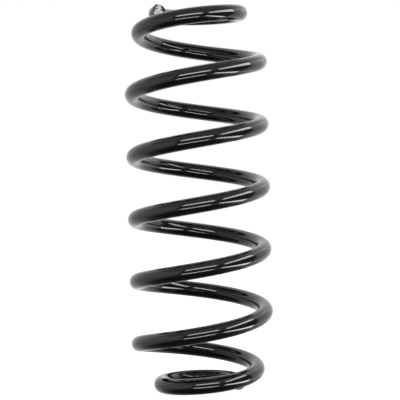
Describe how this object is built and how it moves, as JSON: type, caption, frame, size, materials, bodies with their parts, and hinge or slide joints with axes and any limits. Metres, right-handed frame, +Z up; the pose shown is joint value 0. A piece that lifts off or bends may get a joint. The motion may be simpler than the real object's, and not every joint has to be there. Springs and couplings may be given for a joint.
{
  "type": "suspension coil spring",
  "caption": "Gloss black compression coil spring of round steel wire, drawn in at both ends, that carries the body of a car on its suspension arm.",
  "frame": {"origin": "on the spring's axis, in the plane that the lower end turn stands on", "axes": "+Z up the spring's axis; -Y to the front, the way both cut ends of the wire look; +X to the right as seen from the front"},
  "size_m": [0.132, 0.132, 0.356],
  "materials": {
    "gloss_black_paint": "gloss powder coat",
    "sheared_steel": "bare sheared face with dark marks"
  },
  "bodies": {
    "root": {"coil_spring": "gloss_black_paint"}
  },
  "joints": []
}
